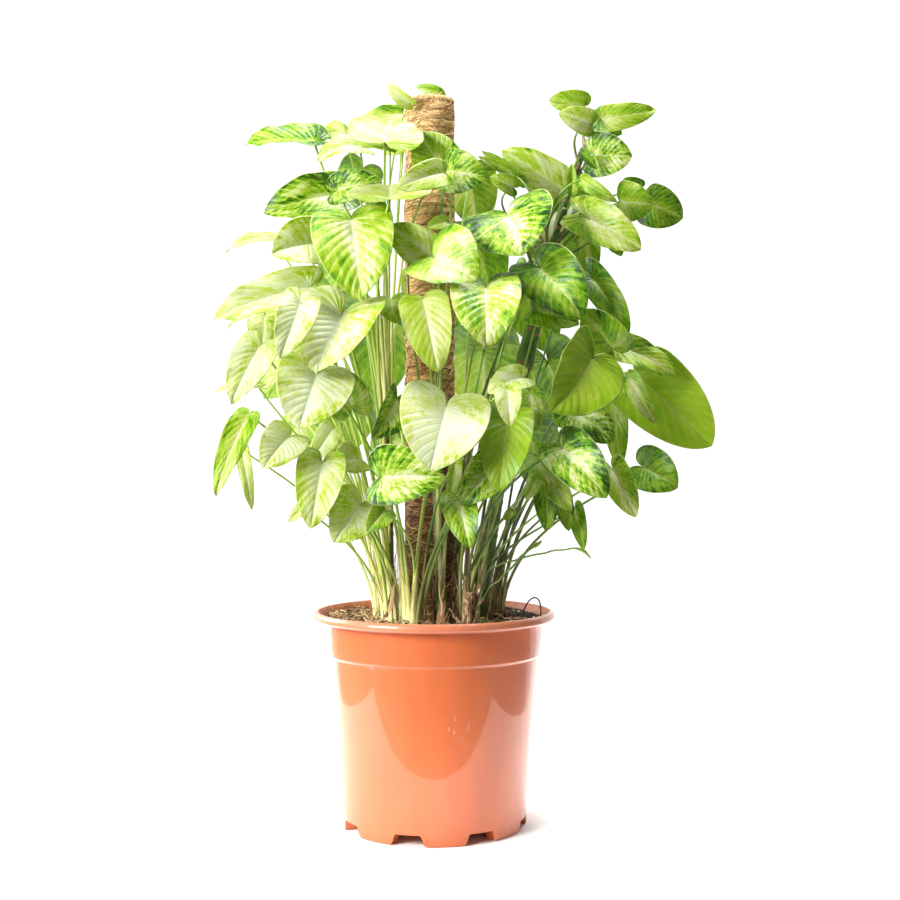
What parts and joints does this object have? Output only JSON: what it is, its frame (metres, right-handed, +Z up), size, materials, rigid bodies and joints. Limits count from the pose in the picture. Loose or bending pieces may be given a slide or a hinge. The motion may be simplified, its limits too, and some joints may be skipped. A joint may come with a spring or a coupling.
{
  "type": "potted arrowhead plant",
  "caption": "Bushy variegated arrowhead plant on a coir pole, growing in a tapered plastic nursery pot with a rolled rim and a notched foot.",
  "frame": {"origin": "middle of the bounding box, on the plane that the pot's foot stands on", "axes": "+Z up along the coir pole, -Y towards the front of the plant, +X to its right"},
  "size_m": [0.489, 0.3498, 0.745],
  "materials": {
    "pot": "glossy injection-moulded polypropylene, terracotta orange, lightly scuffed",
    "soil": "loose fibrous potting mix with bark and perlite",
    "pole_core": "plain sawn softwood stake",
    "coir": "matted coconut fibre wound with thin thread",
    "stump": "dry brown cut stem",
    "leaf": "satin leaf skin, cream and yellow-green variegation on green",
    "thread": "thin twisted binding thread",
    "perlite": "expanded white perlite grains"
  },
  "bodies": {
    "root": {"pot": "pot", "soil": "soil", "pole_core": "pole_core", "pole_coir": "coir", "stump": "stump", "stem_front_left": "leaf", "stem_left": "leaf", "stem_left_climbing": "leaf", "stem_front": "leaf", "stem_front_climbing": "leaf", "stem_front_right": "leaf", "stem_right_climbing": "leaf", "stem_right_tall": "leaf", "stem_right": "leaf", "stem_back_right": "leaf", "stem_back": "leaf", "stem_back_left": "leaf"}
  },
  "joints": []
}
